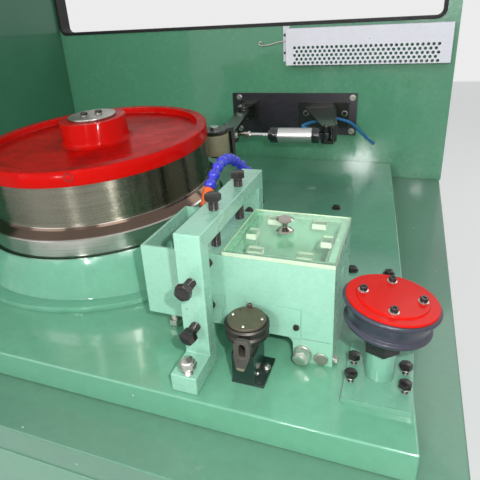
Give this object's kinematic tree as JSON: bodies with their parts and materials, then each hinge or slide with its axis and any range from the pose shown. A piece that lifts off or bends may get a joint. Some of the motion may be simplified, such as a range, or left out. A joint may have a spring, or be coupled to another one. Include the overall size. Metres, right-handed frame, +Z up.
{
  "type": "wire drawing machine block station",
  "caption": "Drawing block station with tilted steel drum, die box with clear lid, clamp frame, guide pulley and pneumatic press roller on a raised deck with a back wall and one side wall.",
  "frame": {"origin": "on the floor under the middle of the station", "axes": "+Z up, -Y is the operator side, +X to the operator's right, against the wire's run"},
  "size_m": [1.78, 1.58, 1.9],
  "materials": {
    "mint_paint": "semi-gloss mint green machine enamel, rubbed at the edges",
    "dark_paint": "satin dark green-grey enamel",
    "red_paint": "gloss red enamel",
    "black_paint": "satin black enamel",
    "olive_paint": "satin olive enamel",
    "pale_paint": "pale grey powder coat",
    "drum_steel": "turned and polished hardened steel",
    "machined_steel": "turned steel",
    "dark_steel": "oiled dark steel",
    "cast_wheel": "blue-grey cast iron, worn bright at the rims",
    "zinc": "zinc-plated steel",
    "chrome": "hard chrome plate",
    "cylinder_tube": "anodised satin tube",
    "tan_roller": "cast tan polyurethane",
    "black_rubber": "black edge trim",
    "clear_plastic": "clear acrylic sheet with pale green edges",
    "blue_tube": "blue polyurethane tube",
    "blue_plastic": "blue moulded hose segments",
    "orange_plastic": "orange moulded nozzle"
  },
  "bodies": {
    "station": {"base_frame": "dark_paint", "cabinet": "mint_paint", "cover_panels": "mint_paint", "deck": "mint_paint", "back_wall": "mint_paint", "side_wall": "mint_paint", "window_trim": "black_rubber", "pedestal": "mint_paint", "clamp_frame": "mint_paint", "die_box": "mint_paint", "die_holder": "machined_steel", "box_foot": "mint_paint", "jack_screw": "zinc", "cover_plates": "mint_paint", "guide_base": "mint_paint", "guide_nut": "dark_steel", "sensor_bracket": "black_paint", "sensor_lever": "cast_wheel", "wall_plate": "black_paint", "hinge_bracket": "black_paint", "rear_bracket": "black_paint", "air_tube": "blue_tube", "hose_stand": "dark_steel", "coolant_hose": "blue_plastic", "hose_nozzle": "orange_plastic", "guard_box": "pale_paint", "hook_rod": "zinc"},
    "drum": {"drum_shaft": "machined_steel", "drum_skirt": "drum_steel", "drum_shell": "drum_steel", "drum_flange": "red_paint", "drum_cap": "machined_steel"},
    "guide_pulley": {"guide_wheel": "cast_wheel", "guide_cap": "red_paint"},
    "sensor_pulley": {"sensor_roller": "dark_steel", "sensor_cover": "olive_paint"},
    "arm": {"press_arm": "black_paint", "roller_axle": "chrome"},
    "roller": {"press_roller": "tan_roller"},
    "cylinder": {"cylinder_barrel": "cylinder_tube", "cylinder_caps": "black_paint"},
    "rod": {"piston_rod": "chrome", "rod_end": "zinc"},
    "lid": {"box_lid": "clear_plastic", "lid_knob": "machined_steel"}
  },
  "joints": [
    {"name": "drum_spin", "type": "hinge", "parent": "station", "child": "drum", "pos_m": [-0.05, -0.146, 0.86], "axis": [-0.0209, -0.0523, 0.9984], "continuous": true},
    {"name": "guide_pulley_spin", "type": "hinge", "parent": "station", "child": "guide_pulley", "pos_m": [0.74, -0.535, 0.928], "axis": [0.1045, 0.0349, 0.9939], "continuous": true},
    {"name": "sensor_pulley_spin", "type": "hinge", "parent": "station", "child": "sensor_pulley", "pos_m": [0.514, -0.58, 0.954], "axis": [0, 0, 1], "continuous": true},
    {"name": "press_arm_swing", "type": "hinge", "parent": "station", "child": "arm", "pos_m": [0.095, 0.639, 1.0825], "axis": [0, 0, 1], "range_deg": [0, 8]},
    {"name": "press_roller_spin", "type": "hinge", "parent": "arm", "child": "roller", "pos_m": [0.19469, 0.0832, 1.09749], "axis": [-0.0209, -0.0523, 0.9984], "continuous": true},
    {"name": "cylinder_swing", "type": "hinge", "parent": "station", "child": "cylinder", "pos_m": [0.48, 0.405, 1.05], "axis": [0, 0, 1], "range_deg": [-2, 0]},
    {"name": "rod_slide", "type": "slide", "parent": "cylinder", "child": "rod", "axis": [0.9956, 0.0934, 0], "range_m": [0, 0.04]},
    {"name": "lid_lift", "type": "slide", "parent": "station", "child": "lid", "axis": [0, 0, 1], "range_m": [0, 0.12]}
  ],
  "couplings": [
    {"joint": "cylinder_swing", "follows": "press_arm_swing", "ratio": -0.1652},
    {"joint": "rod_slide", "follows": "press_arm_swing", "m_per_rad": 0.2655}
  ]
}
